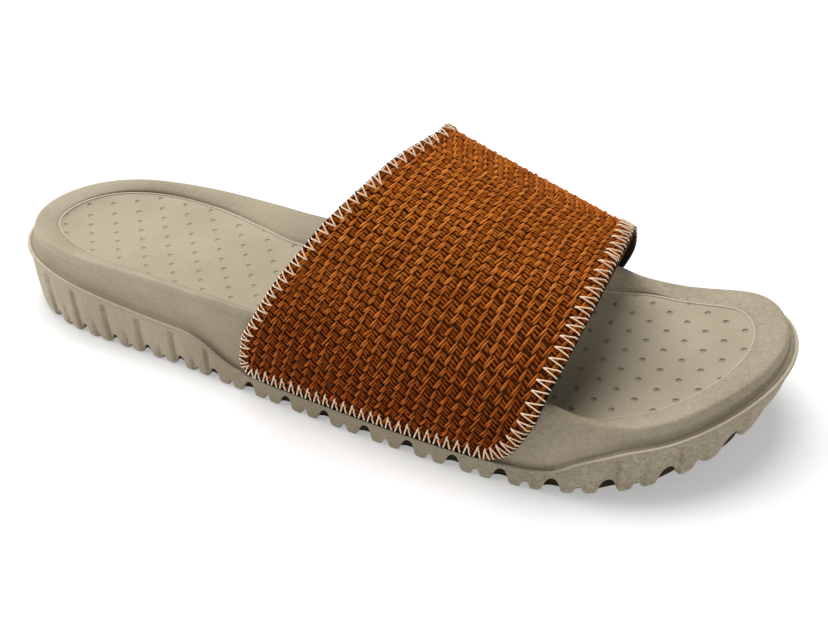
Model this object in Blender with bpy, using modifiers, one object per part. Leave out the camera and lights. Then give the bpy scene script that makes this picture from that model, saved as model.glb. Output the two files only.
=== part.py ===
"""Sport slide sandal for the right foot: one shoe, standing empty on its sole.

Metres, +X to the toe, +Y to the inner side of the foot, +Z up.
"""
import math

import bmesh
import bpy
import numpy as np

for old in list(bpy.data.objects):
    bpy.data.objects.remove(old, do_unlink=True)

# Overall sizes of the sole
SOLE_LENGTH = 0.290
SOLE_WIDTH = 0.102
SIDE_HEIGHT = 0.032
TOE_SPRING = 0.0145
HEEL_LIFT = 0.002

# Gaps between neighbouring pieces
TIER_GAP = 0.0003
PAD_GAP = 0.0003
STRAP_GAP = 0.0003

# Lower tier: rounded foot, lip along its top, channels up its sides
FOOT_ROUND = 0.0014
FOOT_FLARE = 0.0008
END_UNDERCUT = 0.0045
LIP_PROUD = 0.0005
LIP_HEIGHT = 0.0012
CHANNEL_DEPTH = 0.0010
CHANNEL_HALF = 0.0027
CHANNEL_LEAN = 0.0045

# Tread: grooves across the sole, their spacing growing to the toe
GROOVE_COUNT = 18
GROOVE_FIRST = -0.1206
GROOVE_PITCH = 0.0138
GROOVE_GROWTH = 0.000122
GROOVE_RADIUS_HEEL = 0.0023
GROOVE_RADIUS_TOE = 0.0033
SMALL_GROOVE_SHARE = 0.52
GROOVE_STRETCH = 1.25
GROOVE_START = 0.15

# Upper tier: wall, rolled rim and the recess that holds the insole
WALL_INSET = 0.0032
COVE_DEPTH = 0.0007
RIM_SHOULDER = 0.0016
SHOULDER_SHARE = 0.55
PAD_INSET = 0.0125
PAD_THICKNESS = 0.0020
HEEL_CUP = 0.0022
ARCH_RISE = 0.0040

# Strap
STRAP_THICKNESS = 0.0024
STRAP_PROUD = 0.0008
STRAP_FOOT = 0.0084
STRAP_UPRIGHT = 0.0260
STRAP_APEX_BACK = 0.0900
STRAP_APEX_FRONT = 0.0618
STRAP_APEX_SIDE = 0.0142
STRAP_UPRIGHT_SHARE = 0.10
STRAP_BULGE = 1.10
STRAP_RISE = 1.43
STRAP_CORNER = 0.0065
STRAP_EDGE_ROUND = 0.0006
STRAP_ROWS = 30
STRAP_COLUMNS = 14

# Plan of the sole. Columns: share of length from the heel,
# outer half width and inner half width as shares of the sole width.
PLAN = (
    (0.00, -0.047, 0.047),
    (0.06, 0.218, 0.338),
    (0.14, 0.288, 0.407),
    (0.25, 0.319, 0.413),
    (0.36, 0.366, 0.385),
    (0.48, 0.423, 0.377),
    (0.60, 0.470, 0.420),
    (0.70, 0.492, 0.472),
    (0.80, 0.478, 0.490),
    (0.88, 0.392, 0.496),
    (0.94, 0.240, 0.476),
    (1.00, -0.170, 0.170),
)

# Heights above the floor. Columns: share of length from the heel, then as
# shares of the side height: top of the lower tier, rim, edge of the insole.
LEVELS = (
    (0.000, 0.745, 0.975, 0.920),
    (0.055, 0.725, 0.980, 0.900),
    (0.110, 0.675, 0.990, 0.870),
    (0.180, 0.600, 0.990, 0.840),
    (0.250, 0.540, 0.985, 0.810),
    (0.290, 0.528, 0.985, 0.795),
    (0.314, 0.470, 0.990, 0.785),
    (0.345, 0.325, 0.995, 0.765),
    (0.366, 0.262, 1.000, 0.755),
    (0.390, 0.238, 1.005, 0.740),
    (0.500, 0.235, 1.030, 0.700),
    (0.600, 0.235, 1.040, 0.670),
    (0.700, 0.235, 1.040, 0.655),
    (0.735, 0.240, 1.012, 0.655),
    (0.770, 0.285, 0.945, 0.670),
    (0.800, 0.440, 0.868, 0.705),
    (0.830, 0.560, 0.835, 0.755),
    (0.852, 0.625, 0.828, 0.780),
    (0.886, 0.670, 0.858, 0.822),
    (0.920, 0.730, 0.915, 0.878),
    (0.960, 0.820, 0.990, 0.940),
    (1.000, 0.910, 1.055, 0.985),
)

# Shape of the rim across its width. Columns: share of length from the heel,
# inset of the crest on the outer and the inner side, inset of the insole's edge
# on the outer and the inner side, all as shares of PAD_INSET, and how far the
# foot of the wall comes out to seat the strap.
RIM = (
    (0.00, 0.36, 0.36, 1.00, 1.00, 0.0),
    (0.05, 0.36, 0.32, 1.04, 0.86, 0.0),
    (0.14, 0.36, 0.30, 1.03, 0.66, 0.0),
    (0.22, 0.36, 0.30, 1.00, 0.80, 0.0),
    (0.30, 0.36, 0.34, 1.00, 1.20, 0.0),
    (0.36, 0.42, 0.44, 1.00, 1.48, 1.0),
    (0.50, 0.54, 0.54, 1.00, 1.52, 1.0),
    (0.72, 0.58, 0.46, 1.00, 0.90, 1.0),
    (0.80, 0.48, 0.40, 1.00, 0.80, 0.8),
    (0.86, 0.38, 0.34, 1.00, 1.06, 0.0),
    (0.93, 0.37, 0.34, 1.05, 1.16, 0.0),
    (1.00, 0.38, 0.38, 1.18, 1.18, 0.0),
)

# Edges of the strap. Columns: share of the way over the foot from the outer
# end to the inner end, back edge and front edge as shares of the length.
STRAP_EDGES = (
    (0.00, 0.372, 0.718),
    (0.10, 0.381, 0.746),
    (0.18, 0.409, 0.754),
    (0.26, 0.454, 0.767),
    (0.38, 0.521, 0.784),
    (0.50, 0.562, 0.793),
    (0.62, 0.554, 0.791),
    (0.74, 0.511, 0.788),
    (0.86, 0.467, 0.775),
    (1.00, 0.437, 0.752),
)


def column(table, index):
    return np.array([row[index] for row in table], dtype=float)


def smooth(table, index, where):
    """Value of one table column at the given places, without overshoot."""
    knots = column(table, 0)
    values = column(table, index)
    steps = np.diff(knots)
    slopes = np.diff(values) / steps
    tangents = np.zeros(len(knots))
    tangents[0] = slopes[0]
    tangents[-1] = slopes[-1]
    for k in range(1, len(knots) - 1):
        before = slopes[k - 1]
        after = slopes[k]
        if before * after > 0.0:
            tangents[k] = 2.0 * before * after / (before + after)
    where = np.clip(np.asarray(where, dtype=float), knots[0], knots[-1])
    spot = np.clip(np.searchsorted(knots, where) - 1, 0, len(steps) - 1)
    width = steps[spot]
    t = (where - knots[spot]) / width
    start = values[spot] * (1.0 + 2.0 * t) * (1.0 - t) ** 2
    start = start + tangents[spot] * width * t * (1.0 - t) ** 2
    end = values[spot + 1] * t ** 2 * (3.0 - 2.0 * t)
    end = end - tangents[spot + 1] * width * t ** 2 * (1.0 - t)
    return start + end


def closed_spline(knots, values, period):
    """Second derivatives of a cubic spline that closes on itself."""
    count = len(knots)
    ahead = np.append(np.diff(knots), period - knots[-1] + knots[0])
    matrix = np.zeros((count, count))
    right = np.zeros(count)
    for k in range(count):
        before = ahead[k - 1]
        after = ahead[k]
        following = (k + 1) % count
        matrix[k, k - 1] += before
        matrix[k, k] += 2.0 * (before + after)
        matrix[k, following] += after
        rise = (values[following] - values[k]) / after
        fall = (values[k] - values[k - 1]) / before
        right[k] = 6.0 * (rise - fall)
    return np.linalg.solve(matrix, right), ahead


# The outline is one closed curve over an angle: 0 at the heel, half a turn at
# the toe along the inner side, and back along the outer side.
plan_angle = np.arccos(1.0 - 2.0 * column(PLAN, 0))
inner_side = column(PLAN, 2) * SOLE_WIDTH
outer_side = -column(PLAN, 1) * SOLE_WIDTH
OUTLINE_KNOTS = np.concatenate([plan_angle, 2.0 * math.pi - plan_angle[-2:0:-1]])
OUTLINE_VALUES = np.concatenate([inner_side, outer_side[-2:0:-1]])
OUTLINE_BEND, OUTLINE_STEP = closed_spline(OUTLINE_KNOTS, OUTLINE_VALUES, 2.0 * math.pi)


def plan_side(angle):
    """Sideways place of the planned curve at an angle."""
    turn = np.mod(angle, 2.0 * math.pi)
    spot = np.clip(np.searchsorted(OUTLINE_KNOTS, turn, side="right") - 1, 0, None)
    following = (spot + 1) % len(OUTLINE_KNOTS)
    step = OUTLINE_STEP[spot]
    done = turn - OUTLINE_KNOTS[spot]
    left = step - done
    curve = OUTLINE_BEND[spot] * left ** 3 + OUTLINE_BEND[following] * done ** 3
    curve = curve / (6.0 * step)
    low = OUTLINE_VALUES[spot] / step - OUTLINE_BEND[spot] * step / 6.0
    high = OUTLINE_VALUES[following] / step - OUTLINE_BEND[following] * step / 6.0
    return curve + low * left + high * done


plan_spread = plan_side(np.linspace(0.0, 2.0 * math.pi, 721))
PLAN_MIDDLE = 0.5 * float(plan_spread.max() + plan_spread.min())


def outline_side(angle):
    """The planned curve moved so that the origin is in the middle of its width."""
    return plan_side(angle) - PLAN_MIDDLE


def outline(angle, inset=0.0):
    """Points of the outline at the angles, moved inwards by the inset."""
    angle = np.asarray(angle, dtype=float)
    nudge = 0.004
    x = -0.5 * SOLE_LENGTH * np.cos(angle)
    y = outline_side(angle)
    along_x = 0.5 * SOLE_LENGTH * (np.cos(angle - nudge) - np.cos(angle + nudge))
    along_y = outline_side(angle + nudge) - outline_side(angle - nudge)
    reach = np.hypot(along_x, along_y)
    return x + inset * along_y / reach, y - inset * along_x / reach


def share_of(x):
    return np.clip(np.asarray(x, dtype=float) / SOLE_LENGTH + 0.5, 0.0, 1.0)


def angle_of(x):
    return np.arccos(np.clip(-2.0 * np.asarray(x, dtype=float) / SOLE_LENGTH, -1.0, 1.0))


def floor_height(x):
    """Underside of the sole: flat in the middle, lifted at toe and heel."""
    share = share_of(x)
    toe = np.clip((share - 0.70) / 0.30, 0.0, 1.0)
    heel = np.clip((0.11 - share) / 0.11, 0.0, 1.0)
    return TOE_SPRING * toe ** 2 + HEEL_LIFT * heel ** 2


def ledge_height(x):
    return SIDE_HEIGHT * smooth(LEVELS, 1, share_of(x))


def rim_height(x):
    return SIDE_HEIGHT * smooth(LEVELS, 2, share_of(x))


def wall_inset(x):
    """Inset of the upper tier's foot: behind the strap it meets the strap."""
    seat = smooth(RIM, 5, share_of(x))
    behind = STRAP_THICKNESS - STRAP_PROUD + STRAP_GAP
    return WALL_INSET + (behind - WALL_INSET) * seat


def by_side(index, angle):
    """A length from the rim's table, its outer and inner column by the angle."""
    share = share_of(-0.5 * SOLE_LENGTH * np.cos(angle))
    outer = smooth(RIM, index, share)
    inner = smooth(RIM, index + 1, share)
    return PAD_INSET * np.where(np.sin(angle) < 0.0, outer, inner)


def crest_inset(angle):
    return by_side(1, angle)


def pad_inset(angle):
    return by_side(3, angle)


def pad_height(x, y):
    """Top of the insole along its edge, higher inside at the arch."""
    share = share_of(x)
    arch = np.exp(-((share - 0.42) / 0.13) ** 2)
    inner = np.clip(y / (0.4 * SOLE_WIDTH), 0.0, 1.0)
    return SIDE_HEIGHT * smooth(LEVELS, 3, share) + ARCH_RISE * arch * inner


def cup_depth(x):
    """How far the middle of the insole lies below its edges."""
    share = share_of(x)
    return HEEL_CUP * (0.35 + 0.65 * np.clip(1.0 - share / 0.55, 0.0, 1.0) ** 0.5)


def groove_place(index):
    return GROOVE_FIRST + GROOVE_PITCH * index + GROOVE_GROWTH * index ** 2


def lean_at(x):
    """How far the channels lean back to the heel over their height."""
    share = share_of(x)
    return CHANNEL_LEAN * np.clip(1.0 - share / 0.42, 0.0, 1.0) ** 0.5


def station_places():
    """Places along the shoe where the walls have a row of points."""
    places = []
    for index in range(GROOVE_COUNT):
        centre = groove_place(index)
        centre = centre - float(lean_at(centre))
        places.append((centre - CHANNEL_HALF, 0.0))
        places.append((centre, 1.0))
        places.append((centre + CHANNEL_HALF, 0.0))
        if index + 1 < GROOVE_COUNT:
            middle = groove_place(index + 0.5)
            places.append((middle - float(lean_at(middle)), 0.0))
    places = [place for place in places if abs(place[0]) < 0.465 * SOLE_LENGTH]
    first = angle_of(places[0][0])
    last = angle_of(places[-1][0])
    angles = [float(a) for a in np.linspace(0.0, first, 6)[:-1]]
    deep = [0.0] * len(angles)
    for place, depth in places:
        angles.append(float(angle_of(place)))
        deep.append(depth)
    for angle in np.linspace(last, math.pi, 8)[1:]:
        angles.append(float(angle))
        deep.append(0.0)
    return np.array(angles), np.array(deep)


STATIONS, CHANNELS = station_places()


def around(values):
    """Go up the outer side from heel to toe and back down the inner side."""
    return np.concatenate([values, values[-2:0:-1]])


def ring_angles(angles):
    return np.concatenate([2.0 * math.pi - angles, angles[-2:0:-1]])


class Loft:
    """Rings of points joined by faces, closed by strips across the shoe."""

    def __init__(self, stations):
        self.stations = stations
        self.count = 2 * (stations - 1)
        self.points = []
        self.faces = []
        self.rings = []

    def ring(self, x, y, z):
        start = len(self.points)
        for k in range(self.count):
            self.points.append((float(x[k]), float(y[k]), float(z[k])))
        members = list(range(start, start + self.count))
        if self.rings:
            below = self.rings[-1]
            for k in range(self.count):
                after = (k + 1) % self.count
                self.faces.append((below[k], below[after], members[after], members[k]))
        self.rings.append(members)
        return members

    def pair(self, ring, station):
        return ring[station], ring[(self.count - station) % self.count]

    def cap(self, ring, up, sag=None, columns=1):
        """Close a ring with strips; sag(x) lowers the middle of each strip."""
        rows = []
        for station in range(self.stations):
            outer, inner = self.pair(ring, station)
            if outer == inner:
                rows.append([outer])
                continue
            row = [outer]
            a = np.array(self.points[outer])
            b = np.array(self.points[inner])
            for k in range(1, columns):
                t = k / columns
                spot = a + (b - a) * t
                if sag is not None:
                    width = float(np.linalg.norm(b - a)) / SOLE_WIDTH
                    depth = float(sag(spot[0])) * min(1.0, 2.2 * width)
                    spot[2] -= depth * (1.0 - (2.0 * t - 1.0) ** 2)
                row.append(len(self.points))
                self.points.append(tuple(float(v) for v in spot))
            row.append(inner)
            rows.append(row)
        for low, high in zip(rows[:-1], rows[1:]):
            self.strip(low, high, up)

    def strip(self, low, high, up):
        count = max(len(low), len(high)) - 1
        for k in range(count):
            if len(low) == 1:
                face = (low[0], high[k], high[k + 1])
                face = face if not up else face[::-1]
                self.faces.append(face[::-1])
            elif len(high) == 1:
                face = (low[k], high[0], low[k + 1])
                self.faces.append(face[::-1] if up else face)
            else:
                face = (low[k], high[k], high[k + 1], low[k + 1])
                self.faces.append(face[::-1] if up else face)

    def mesh(self, name):
        data = bpy.data.meshes.new(name)
        data.from_pydata(self.points, [], self.faces)
        data.validate()
        return data


def place_object(name, data, group):
    item = bpy.data.objects.new(name, data)
    group.objects.link(item)
    return item


def face_outwards(data):
    work = bmesh.new()
    work.from_mesh(data)
    bmesh.ops.recalc_face_normals(work, faces=work.faces)
    work.to_mesh(data)
    work.free()


def material(name, colour, roughness):
    made = bpy.data.materials.new(name)
    made.use_nodes = True
    shader = made.node_tree.nodes["Principled BSDF"]
    shader.inputs["Base Color"].default_value = (*colour, 1.0)
    shader.inputs["Roughness"].default_value = roughness
    made.diffuse_color = (*colour, 1.0)
    return made


def build_outsole(group):
    """Lower tier with its lip, side channels and underside."""
    angles = ring_angles(STATIONS)
    channels = around(CHANNELS)
    top_x, top_y = outline(angles)
    ledge = ledge_height(top_x)
    ends = np.abs(2.0 * share_of(top_x) - 1.0) ** 8
    body = Loft(len(STATIONS))
    # Columns: share of the wall height, inset, share of the channel depth
    wall = (
        (0.00, FOOT_ROUND - FOOT_FLARE, 0.0),
        (0.07, -FOOT_FLARE, 1.0),
        (0.45, -0.6 * FOOT_FLARE, 1.0),
        (0.80, 0.0, 0.8),
    )
    rise = ledge - floor_height(top_x) - LIP_HEIGHT
    for share, inset, depth in wall:
        lean = lean_at(top_x) * (1.0 - share)
        spread = np.sin(np.clip(angles, 0.0, 2.0 * math.pi))
        turned = angle_of(top_x + lean * np.abs(spread))
        shifted = np.where(angles > math.pi, 2.0 * math.pi - turned, turned)
        under = END_UNDERCUT * ends * (1.0 - share) ** 1.5
        cut = CHANNEL_DEPTH * channels * depth
        x, y = outline(shifted, inset + under + cut)
        floor = floor_height(x)
        z = floor + share * rise
        body.ring(x, y, z)
    wall_foot = wall_inset(top_x)
    lip = (
        (-LIP_PROUD, ledge - 0.55 * LIP_HEIGHT),
        (0.1 * LIP_PROUD, ledge),
        (0.6 * wall_foot, ledge - 0.2 * LIP_HEIGHT),
        (wall_foot, ledge - 0.2 * LIP_HEIGHT),
    )
    for inset, z in lip:
        x, y = outline(angles, inset)
        body.ring(x, y, z)
    body.cap(body.rings[0], up=False)
    body.cap(body.rings[-1], up=True)
    data = body.mesh("outsole")
    face_outwards(data)
    return place_object("outsole", data, group)


def build_groove_cutter(group):
    """One mesh holding every groove of the tread, each a closed bar."""
    points = []
    faces = []
    reach = 0.75 * SOLE_WIDTH

    def bar(centre, radius, segments):
        base = float(floor_height(centre))
        profile = [(centre - 1.25 * radius, base - 2.0 * radius)]
        for k in range(segments + 1):
            turn = GROOVE_START + (math.pi - 2.0 * GROOVE_START) * k / segments
            across = -radius * math.cos(turn)
            height = GROOVE_STRETCH * radius * math.sin(turn)
            profile.append((centre + across, float(floor_height(centre + across)) + height))
        profile.append((centre + 1.25 * radius, base - 2.0 * radius))
        start = len(points)
        for side in (-reach, reach):
            for x, z in profile:
                points.append((x, side, z))
        size = len(profile)
        for k in range(size):
            after = (k + 1) % size
            faces.append((start + k, start + after, start + size + after, start + size + k))
        faces.append(tuple(start + k for k in range(size - 1, -1, -1)))
        faces.append(tuple(start + size + k for k in range(size)))

    span = GROOVE_RADIUS_TOE - GROOVE_RADIUS_HEEL
    for index in range(GROOVE_COUNT):
        radius = GROOVE_RADIUS_HEEL + span * index / (GROOVE_COUNT - 1)
        bar(groove_place(index), radius, 8)
        if index + 1 < GROOVE_COUNT:
            bar(groove_place(index + 0.5), radius * SMALL_GROOVE_SHARE, 6)
    data = bpy.data.meshes.new("groove_cutter")
    data.from_pydata(points, [], faces)
    face_outwards(data)
    cutter = place_object("groove_cutter", data, group)
    cutter.hide_render = True
    cutter.display_type = "WIRE"
    return cutter


def build_midsole(group):
    """Upper tier: coved wall, rolled rim and the recess for the insole."""
    angles = ring_angles(STATIONS)
    base_x, base_y = outline(angles)
    share = share_of(base_x)
    foot = ledge_height(base_x) - 0.2 * LIP_HEIGHT + TIER_GAP
    rim = rim_height(base_x)
    crest = crest_inset(angles)
    shoulder = SHOULDER_SHARE * crest
    pad = pad_inset(angles)
    tall = rim - foot
    pad_x, pad_y = outline(angles, pad)
    lip = pad_height(pad_x, pad_y)
    wall = wall_inset(base_x)
    cove = wall + COVE_DEPTH * (1.0 - smooth(RIM, 5, share))
    body = Loft(len(STATIONS))
    rings = (
        (wall, foot),
        (cove, foot + 0.16 * tall),
        (0.6 * cove + 0.4 * shoulder, foot + 0.55 * tall),
        (shoulder, rim - RIM_SHOULDER * 1.9),
        (0.6 * shoulder + 0.4 * crest, rim - 0.5 * RIM_SHOULDER),
        (crest, rim),
        (crest + 0.45 * (pad - crest), 0.72 * rim + 0.28 * lip),
        (pad - PAD_GAP, lip),
        (pad - PAD_GAP, lip - PAD_THICKNESS - PAD_GAP),
    )
    for inset, z in rings:
        x, y = outline(angles, inset)
        body.ring(x, y, z)
    body.cap(body.rings[0], up=False)
    body.cap(body.rings[-1], up=True, sag=cup_depth, columns=4)
    data = body.mesh("midsole")
    face_outwards(data)
    return place_object("midsole", data, group)


def build_footbed(group):
    """Insole pad with a rounded edge and a dished top."""
    angles = ring_angles(STATIONS)
    pad = pad_inset(angles)
    edge_x, edge_y = outline(angles, pad)
    top = pad_height(edge_x, edge_y)
    body = Loft(len(STATIONS))
    for drop in (PAD_THICKNESS, 0.0):
        body.ring(edge_x, edge_y, top - drop)
    body.cap(body.rings[0], up=False, sag=cup_depth, columns=4)
    body.cap(body.rings[-1], up=True, sag=cup_depth, columns=4)
    data = body.mesh("footbed")
    face_outwards(data)
    return place_object("footbed", data, group)


def strap_edge(t, index):
    return SOLE_LENGTH * (smooth(STRAP_EDGES, index, t) - 0.5)


def strap_point(along, t, lift=0.0):
    """Outer face of the strap at a place along the shoe and a share over the foot."""
    upright = STRAP_UPRIGHT_SHARE
    outer_x, outer_y = outline(2.0 * math.pi - angle_of(along), lift - STRAP_PROUD)
    inner_x, inner_y = outline(angle_of(along), lift - STRAP_PROUD)
    share = (along / SOLE_LENGTH + 0.5 - STRAP_EDGES[5][1]) / (STRAP_EDGES[5][2] - STRAP_EDGES[5][1])
    apex = STRAP_APEX_BACK + (STRAP_APEX_FRONT - STRAP_APEX_BACK) * share - lift
    if t < upright:
        return outer_x, outer_y, STRAP_FOOT + (STRAP_UPRIGHT - STRAP_FOOT) * t / upright
    if t > 1.0 - upright:
        return inner_x, inner_y, STRAP_FOOT + (STRAP_UPRIGHT - STRAP_FOOT) * (1.0 - t) / upright
    turn = math.pi * (t - upright) / (1.0 - 2.0 * upright)
    over = abs(math.cos(turn)) ** STRAP_BULGE
    height = abs(math.sin(turn)) ** STRAP_RISE
    if turn < 0.5 * math.pi:
        y = STRAP_APEX_SIDE + (outer_y - STRAP_APEX_SIDE) * over
    else:
        y = STRAP_APEX_SIDE + (inner_y - STRAP_APEX_SIDE) * over
    return along, y, STRAP_UPRIGHT + (apex - STRAP_UPRIGHT) * height


def strap_rows():
    """Shares over the foot, close together at both rounded ends."""
    corner = STRAP_UPRIGHT_SHARE * STRAP_CORNER / (STRAP_UPRIGHT - STRAP_FOOT)
    turns = np.linspace(0.0, 0.5 * math.pi, 5)
    near = corner * (1.0 - np.cos(turns))
    middle = np.linspace(corner, 1.0 - corner, STRAP_ROWS)
    return np.concatenate([near[:-1], middle, 1.0 - near[-2::-1]])


def build_strap(group):
    """Hollow arch over the foot, a wall of one thickness with round corners."""
    points = []
    faces = []
    rows = strap_rows()
    per_share = (STRAP_UPRIGHT - STRAP_FOOT) / STRAP_UPRIGHT_SHARE
    for t in rows:
        end = min(t, 1.0 - t) * per_share
        short = max(0.0, STRAP_CORNER - end)
        pull = STRAP_CORNER - math.sqrt(max(0.0, STRAP_CORNER ** 2 - short ** 2))
        back = float(strap_edge(t, 1)) + pull
        front = float(strap_edge(t, 2)) - pull
        for k in range(STRAP_COLUMNS + 1):
            along = back + (front - back) * k / STRAP_COLUMNS
            spot = strap_point(along, float(t))
            points.append(tuple(float(v) for v in spot))
    wide = STRAP_COLUMNS + 1
    for row in range(len(rows) - 1):
        for k in range(STRAP_COLUMNS):
            a = row * wide + k
            faces.append((a, a + 1, a + wide + 1, a + wide))
    data = bpy.data.meshes.new("strap")
    data.from_pydata(points, [], faces)
    face_outwards(data)
    strap = place_object("strap", data, group)
    wall = strap.modifiers.new("wall", "SOLIDIFY")
    wall.thickness = STRAP_THICKNESS
    wall.offset = -1.0
    wall.use_even_offset = True
    rounding = strap.modifiers.new("edge", "BEVEL")
    rounding.width = STRAP_EDGE_ROUND
    rounding.segments = 2
    rounding.limit_method = "ANGLE"
    rounding.angle_limit = math.radians(60.0)
    return strap


def main():
    scene = bpy.context.scene
    scene.unit_settings.system = "METRIC"
    shoe = bpy.data.collections.new("slide_sandal")
    scene.collection.children.link(shoe)
    cutters = bpy.data.collections.new("cutters")
    scene.collection.children.link(cutters)
    eva = (0.42, 0.36, 0.27)
    outsole = build_outsole(shoe)
    groove = outsole.modifiers.new("tread", "BOOLEAN")
    groove.operation = "DIFFERENCE"
    groove.solver = "EXACT"
    groove.object = build_groove_cutter(cutters)
    tidy = outsole.modifiers.new("tidy", "WELD")
    tidy.merge_threshold = 0.00002
    midsole = build_midsole(shoe)
    footbed = build_footbed(shoe)
    strap = build_strap(shoe)
    outsole.data.materials.append(material("outsole_foam", eva, 0.75))
    midsole.data.materials.append(material("midsole_foam", eva, 0.70))
    footbed.data.materials.append(material("footbed_foam", (0.46, 0.40, 0.30), 0.70))
    strap.data.materials.append(material("woven_strap", (0.33, 0.12, 0.03), 0.85))


main()
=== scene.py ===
"""Looks of the sport slide sandal: foam sole, woven strap, stitches, studio."""
import math

import bpy
import numpy as np
from mathutils import Matrix, Vector


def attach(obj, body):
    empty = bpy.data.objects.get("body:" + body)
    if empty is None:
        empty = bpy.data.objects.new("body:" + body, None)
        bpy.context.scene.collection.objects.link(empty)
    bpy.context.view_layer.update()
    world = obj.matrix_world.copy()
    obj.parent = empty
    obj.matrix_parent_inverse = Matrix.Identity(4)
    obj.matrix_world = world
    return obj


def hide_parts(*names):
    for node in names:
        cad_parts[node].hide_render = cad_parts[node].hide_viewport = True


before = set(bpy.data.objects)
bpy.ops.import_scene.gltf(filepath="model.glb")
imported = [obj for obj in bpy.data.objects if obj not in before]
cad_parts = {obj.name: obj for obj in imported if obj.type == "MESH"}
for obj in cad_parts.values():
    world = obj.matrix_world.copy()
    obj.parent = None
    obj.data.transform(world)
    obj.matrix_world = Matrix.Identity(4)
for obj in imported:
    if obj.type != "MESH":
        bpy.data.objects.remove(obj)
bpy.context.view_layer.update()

# Sole, the same sizes as the solids have
SOLE_LENGTH = 0.290
SOLE_WIDTH = 0.102
SIDE_HEIGHT = 0.032
TOE_SPRING = 0.0145
HEEL_LIFT = 0.002
END_UNDERCUT = 0.0045
LIP_PROUD = 0.0005
LIP_HEIGHT = 0.0012
CHANNEL_LEAN = 0.0045
GROOVE_COUNT = 18
GROOVE_FIRST = -0.1206
GROOVE_PITCH = 0.0138
GROOVE_GROWTH = 0.000122
GROOVE_RADIUS_HEEL = 0.0023
GROOVE_RADIUS_TOE = 0.0033
SMALL_GROOVE_SHARE = 0.52
GROOVE_STRETCH = 1.25
WALL_INSET = 0.0032
RIM_SHOULDER = 0.0016
SHOULDER_SHARE = 0.55
PAD_INSET = 0.0125
PAD_THICKNESS = 0.0020
HEEL_CUP = 0.0022
ARCH_RISE = 0.0040

# Sole, sizes that only the looks have
GROOVE_DEEPER = 1.35
EDGE_ROUND = 0.0008
PAD_ROUND = 0.0002
PAD_COLUMNS = 60
BEAD_WIDTH = 0.0008
BEAD_RISE = 0.00022
BEAD_FOOT = 0.00032
POCKET_ROOF = 0.0004
# Stations along a side: share of the length before the ends, least step
STATION_REACH = 0.468
STATION_GAP = 0.00012
# Channels up the side: where they turn round, how hollow they are, share of the
# crease, heights of the side where they start and are full
FLUTE_TURN = 0.03
FLUTE_HOLLOW = 1.2
FLUTE_CREASE = 0.30
FLUTE_WALL_LOW = 0.0085
FLUTE_WALL_FULL = 0.0145

# Strap, the same sizes as the solid has
STRAP_THICKNESS = 0.0024
STRAP_PROUD = 0.0008
STRAP_GAP = 0.0003
STRAP_FOOT = 0.0084
STRAP_UPRIGHT = 0.0260
STRAP_APEX_BACK = 0.0900
STRAP_APEX_FRONT = 0.0618
STRAP_APEX_SIDE = 0.0142
STRAP_UPRIGHT_SHARE = 0.10
STRAP_BULGE = 1.10
STRAP_RISE = 1.43
STRAP_CORNER = 0.0065
# Share over the foot for each metre up the upright ends
UPRIGHT_RATE = STRAP_UPRIGHT_SHARE / (STRAP_UPRIGHT - STRAP_FOOT)

# Plan of the sole: share of length, outer and inner half as shares of width
PLAN = (
    (0.0, -0.047, 0.047), (0.06, 0.218, 0.338), (0.14, 0.288, 0.407),
    (0.25, 0.319, 0.413), (0.36, 0.366, 0.385), (0.48, 0.423, 0.377),
    (0.6, 0.47, 0.42), (0.7, 0.492, 0.472), (0.8, 0.478, 0.49),
    (0.88, 0.392, 0.496), (0.94, 0.24, 0.476), (1.0, -0.17, 0.17),
)
# Heights: share of length, then ledge, rim and insole edge over SIDE_HEIGHT
LEVELS = (
    (0.0, 0.745, 0.975, 0.92), (0.055, 0.725, 0.98, 0.9), (0.11, 0.675, 0.99, 0.87),
    (0.18, 0.6, 0.99, 0.84), (0.25, 0.54, 0.985, 0.81), (0.29, 0.528, 0.985, 0.795),
    (0.314, 0.47, 0.99, 0.785), (0.345, 0.325, 0.995, 0.765), (0.366, 0.262, 1.0, 0.755),
    (0.39, 0.238, 1.005, 0.74), (0.5, 0.235, 1.03, 0.7), (0.6, 0.235, 1.04, 0.67),
    (0.7, 0.235, 1.04, 0.655), (0.735, 0.24, 1.012, 0.655), (0.77, 0.285, 0.945, 0.67),
    (0.8, 0.44, 0.868, 0.705), (0.83, 0.56, 0.835, 0.755), (0.852, 0.625, 0.828, 0.78),
    (0.886, 0.67, 0.858, 0.822), (0.92, 0.73, 0.915, 0.878), (0.96, 0.82, 0.99, 0.94),
    (1.0, 0.91, 1.055, 0.985),
)
# Rim: share of length; over PAD_INSET the insets of the crest and of the insole's
# edge, outer and inner; how far the wall comes out to seat the strap
RIM = (
    (0.0, 0.36, 0.36, 1.0, 1.0, 0.0), (0.05, 0.36, 0.32, 1.04, 0.86, 0.0),
    (0.14, 0.36, 0.3, 1.03, 0.66, 0.0), (0.22, 0.36, 0.3, 1.0, 0.8, 0.0),
    (0.3, 0.36, 0.34, 1.0, 1.2, 0.0), (0.36, 0.42, 0.44, 1.0, 1.48, 1.0),
    (0.5, 0.54, 0.54, 1.0, 1.52, 1.0), (0.72, 0.58, 0.46, 1.0, 0.9, 1.0),
    (0.8, 0.48, 0.4, 1.0, 0.8, 0.8), (0.86, 0.38, 0.34, 1.0, 1.06, 0.0),
    (0.93, 0.37, 0.34, 1.05, 1.16, 0.0), (1.0, 0.38, 0.38, 1.18, 1.18, 0.0),
)
# Strap edges: share over the foot, back and front as shares of the length
STRAP_EDGES = (
    (0.0, 0.372, 0.718), (0.1, 0.381, 0.746), (0.18, 0.409, 0.754),
    (0.26, 0.454, 0.767), (0.38, 0.521, 0.784), (0.5, 0.562, 0.793),
    (0.62, 0.554, 0.791), (0.74, 0.511, 0.788), (0.86, 0.467, 0.775),
    (1.0, 0.437, 0.752),
)
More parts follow.
